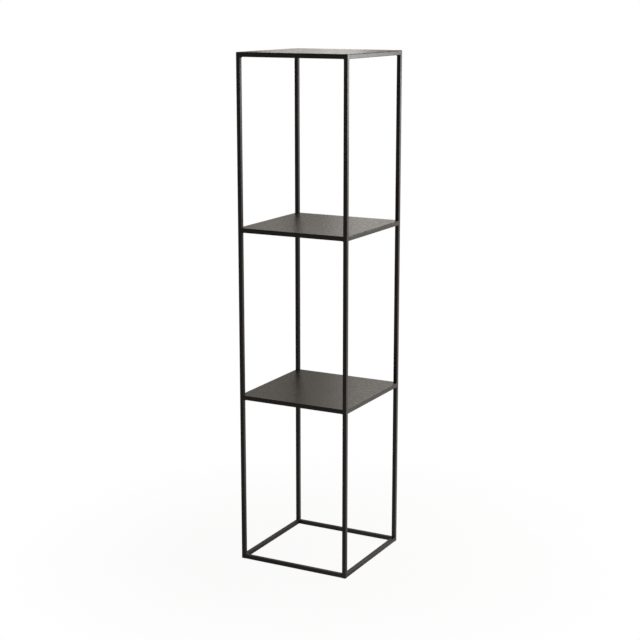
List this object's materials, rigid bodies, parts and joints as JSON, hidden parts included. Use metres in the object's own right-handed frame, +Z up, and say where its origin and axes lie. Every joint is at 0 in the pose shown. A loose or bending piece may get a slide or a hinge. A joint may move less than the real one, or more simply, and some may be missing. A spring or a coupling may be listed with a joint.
{
  "type": "bookcase",
  "caption": "Slim open tower bookcase of square metal tube, square in plan, with flat sheet-metal shelves, a flat top and an open base frame on flush plug feet.",
  "frame": {"origin": "on the floor at the middle of the square footprint", "axes": "+Z up; -Y towards the front, where the camera stands to the right of it; +X to the right"},
  "size_m": [0.35, 0.35, 1.5],
  "materials": {
    "tube_coat": "satin near-black coat on square steel tube",
    "sheet_coat": "satin near-black coat on sheet steel",
    "weld_coat": "satin near-black coat over fillet welds",
    "foot_plastic": "matt black moulded plastic"
  },
  "bodies": {
    "root": {"post_front_left": "tube_coat", "post_front_right": "tube_coat", "post_rear_right": "tube_coat", "post_rear_left": "tube_coat", "base_rail_front": "tube_coat", "base_rail_right": "tube_coat", "base_rail_rear": "tube_coat", "base_rail_left": "tube_coat", "lower_shelf_rail_front": "tube_coat", "lower_shelf_rail_right": "tube_coat", "lower_shelf_rail_rear": "tube_coat", "lower_shelf_rail_left": "tube_coat", "upper_shelf_rail_front": "tube_coat", "upper_shelf_rail_right": "tube_coat", "upper_shelf_rail_rear": "tube_coat", "upper_shelf_rail_left": "tube_coat", "top_rail_front": "tube_coat", "top_rail_right": "tube_coat", "top_rail_rear": "tube_coat", "top_rail_left": "tube_coat", "lower_shelf_plate": "sheet_coat", "upper_shelf_plate": "sheet_coat", "top_plate": "sheet_coat", "foot_plug_front_left": "foot_plastic", "foot_plug_front_right": "foot_plastic", "foot_plug_rear_right": "foot_plastic", "foot_plug_rear_left": "foot_plastic", "base_corner_weld_front_left": "weld_coat", "base_corner_weld_front_right": "weld_coat", "base_corner_weld_rear_right": "weld_coat", "base_corner_weld_rear_left": "weld_coat", "lower_shelf_corner_weld_front_left": "weld_coat", "lower_shelf_corner_weld_front_right": "weld_coat", "lower_shelf_corner_weld_rear_right": "weld_coat", "lower_shelf_corner_weld_rear_left": "weld_coat", "upper_shelf_corner_weld_front_left": "weld_coat", "upper_shelf_corner_weld_front_right": "weld_coat", "upper_shelf_corner_weld_rear_right": "weld_coat", "upper_shelf_corner_weld_rear_left": "weld_coat", "top_corner_weld_front_left": "weld_coat", "top_corner_weld_front_right": "weld_coat", "top_corner_weld_rear_right": "weld_coat", "top_corner_weld_rear_left": "weld_coat", "lower_shelf_stitch_weld_front": "weld_coat", "lower_shelf_stitch_weld_right": "weld_coat", "lower_shelf_stitch_weld_rear": "weld_coat", "lower_shelf_stitch_weld_left": "weld_coat", "upper_shelf_stitch_weld_front": "weld_coat", "upper_shelf_stitch_weld_right": "weld_coat", "upper_shelf_stitch_weld_rear": "weld_coat", "upper_shelf_stitch_weld_left": "weld_coat", "top_stitch_weld_front": "weld_coat", "top_stitch_weld_right": "weld_coat", "top_stitch_weld_rear": "weld_coat", "top_stitch_weld_left": "weld_coat"}
  },
  "joints": []
}
